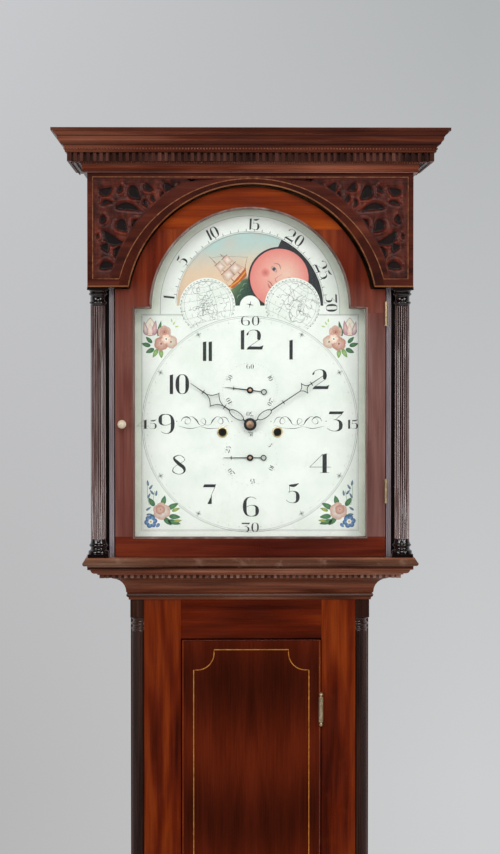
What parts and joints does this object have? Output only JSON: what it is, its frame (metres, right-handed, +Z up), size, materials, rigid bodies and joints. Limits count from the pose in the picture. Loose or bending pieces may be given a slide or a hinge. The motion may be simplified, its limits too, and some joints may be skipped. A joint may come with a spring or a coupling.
{
  "type": "longcase clock",
  "caption": "Tall pendulum clock in a mahogany case: arched painted dial with moon phases, columned hood that slides off, hinged doors, weight-driven works.",
  "frame": {"origin": "on the floor, at the middle of the overall width and depth", "axes": "+X to the right of someone facing the dial, -Y towards them, +Z up"},
  "size_m": [0.538, 0.27, 2.191],
  "materials": {
    "mahogany": "French-polished, satin",
    "crotch_mahogany": "figured veneer, polished",
    "dark_mahogany": "polished, darkened",
    "pine": "bare, aged",
    "brass": "lacquered, a little tarnished",
    "bell_metal": "turned",
    "steel": "blued and polished",
    "iron": "rough",
    "gut": "natural gut",
    "dial_paint": "japanned, aged",
    "bone": null,
    "glass": "clear"
  },
  "bodies": {
    "case": {"backboard": "pine", "trunk_side_left": "mahogany", "trunk_side_right": "mahogany", "trunk_stile_left": "mahogany", "trunk_stile_right": "mahogany", "trunk_top_rail": "mahogany", "trunk_bottom_rail": "mahogany", "quarter_column_left": "dark_mahogany", "quarter_column_right": "dark_mahogany", "throat_moulding": "mahogany", "throat_dentils": "dark_mahogany", "waist_moulding": "mahogany", "base_front": "mahogany", "base_side_left": "mahogany", "base_side_right": "mahogany", "plinth": "mahogany", "seatboard": "pine", "trunk_hinge_upper_fixed": "brass", "trunk_hinge_lower_fixed": "brass", "dial_plate": "dial_paint", "movement_frame": "brass", "back_cock": "brass", "bell": "bell_metal", "strike_line": "gut", "going_line": "gut"},
    "trunk_door": {"trunk_door": "crotch_mahogany", "trunk_key_plate": "brass", "trunk_hinge_upper_leaf": "brass", "trunk_hinge_lower_leaf": "brass"},
    "hood": {"hood_cornice": "mahogany", "hood_dentils": "dark_mahogany", "hood_frieze": "mahogany", "hood_side_left": "mahogany", "hood_side_right": "mahogany", "hood_top_board": "pine", "hood_base": "mahogany", "hood_stile_left": "dark_mahogany", "hood_stile_right": "dark_mahogany", "hood_column_left": "dark_mahogany", "hood_column_right": "dark_mahogany", "dial_mask": "pine", "hood_hinge_upper_fixed": "brass", "hood_hinge_lower_fixed": "brass"},
    "hood_door": {"hood_door": "mahogany", "hood_glass": "glass", "door_knob": "bone", "hood_hinge_upper_leaf": "brass", "hood_hinge_lower_leaf": "brass"},
    "minute_hand": {"minute_hand": "steel"},
    "hour_hand": {"hour_hand": "steel"},
    "seconds_hand": {"seconds_hand": "steel"},
    "date_hand": {"date_hand": "steel"},
    "moon_disc": {"moon_disc": "dial_paint"},
    "going_weight": {"going_weight": "iron"},
    "strike_weight": {"strike_weight": "iron"},
    "going_barrel": {"going_barrel": "brass"},
    "strike_barrel": {"strike_barrel": "brass"},
    "pendulum": {"pendulum": "brass"},
    "anchor": {"anchor": "steel"},
    "hammer": {"hammer": "steel"}
  },
  "joints": [
    {"name": "hood_slide", "type": "slide", "parent": "case", "child": "hood", "axis": [0, -1, 0], "range_m": [0, 0.25]},
    {"name": "hood_door_hinge", "type": "hinge", "parent": "hood", "child": "hood_door", "pos_m": [0.18575, -0.077, 1.82], "axis": [0, 0, 1], "range_deg": [0, 95]},
    {"name": "trunk_door_hinge", "type": "hinge", "parent": "case", "child": "trunk_door", "pos_m": [0.09875, -0.0365, 1.065], "axis": [0, 0, 1], "range_deg": [0, 115]},
    {"name": "minute_hand_turn", "type": "hinge", "parent": "case", "child": "minute_hand", "pos_m": [0, -0.055, 1.79], "axis": [0, 1, 0], "continuous": true},
    {"name": "hour_hand_turn", "type": "hinge", "parent": "case", "child": "hour_hand", "pos_m": [0, -0.052, 1.79], "axis": [0, 1, 0], "continuous": true},
    {"name": "date_hand_turn", "type": "hinge", "parent": "case", "child": "date_hand", "pos_m": [0, -0.049, 1.7437], "axis": [0, 1, 0], "continuous": true},
    {"name": "moon_disc_turn", "type": "hinge", "parent": "case", "child": "moon_disc", "pos_m": [0, -0.043, 1.9534], "axis": [0, 1, 0], "continuous": true},
    {"name": "seconds_hand_turn", "type": "hinge", "parent": "case", "child": "seconds_hand", "pos_m": [0, -0.049, 1.8369], "axis": [0, 1, 0], "continuous": true},
    {"name": "going_weight_fall", "type": "slide", "parent": "case", "child": "going_weight", "axis": [0, 0, -1], "range_m": [0, 1.1], "deforming": ["going_line"]},
    {"name": "strike_weight_fall", "type": "slide", "parent": "case", "child": "strike_weight", "axis": [0, 0, -1], "range_m": [0, 1.1], "deforming": ["strike_line"]},
    {"name": "going_barrel_turn", "type": "hinge", "parent": "case", "child": "going_barrel", "pos_m": [0.038, 0.017, 1.779], "axis": [0, 1, 0], "range_deg": [0, 5560]},
    {"name": "strike_barrel_turn", "type": "hinge", "parent": "case", "child": "strike_barrel", "pos_m": [-0.038, 0.017, 1.779], "axis": [0, -1, 0], "range_deg": [0, 5560]},
    {"name": "pendulum_swing", "type": "hinge", "parent": "case", "child": "pendulum", "pos_m": [0, 0.065, 1.866], "axis": [0, 1, 0], "range_deg": [-3, 3]},
    {"name": "anchor_rock", "type": "hinge", "parent": "case", "child": "anchor", "pos_m": [0, 0.015, 1.866], "axis": [0, 1, 0], "range_deg": [-3, 3]},
    {"name": "hammer_lift", "type": "hinge", "parent": "case", "child": "hammer", "pos_m": [-0.054, 0.013, 1.835], "axis": [0, -1, 0], "range_deg": [0, 14], "stiffness_Nm_per_rad": 0.4, "springref_deg": -8.59}
  ],
  "couplings": [
    {"joint": "hour_hand_turn", "follows": "minute_hand_turn", "ratio": 0.083333},
    {"joint": "date_hand_turn", "follows": "minute_hand_turn", "ratio": 0.0013441},
    {"joint": "moon_disc_turn", "follows": "minute_hand_turn", "ratio": 0.00070621},
    {"joint": "going_barrel_turn", "follows": "going_weight_fall", "rad_per_m": 87.719},
    {"joint": "strike_barrel_turn", "follows": "strike_weight_fall", "rad_per_m": 87.719},
    {"joint": "anchor_rock", "follows": "pendulum_swing", "ratio": 1}
  ]
}
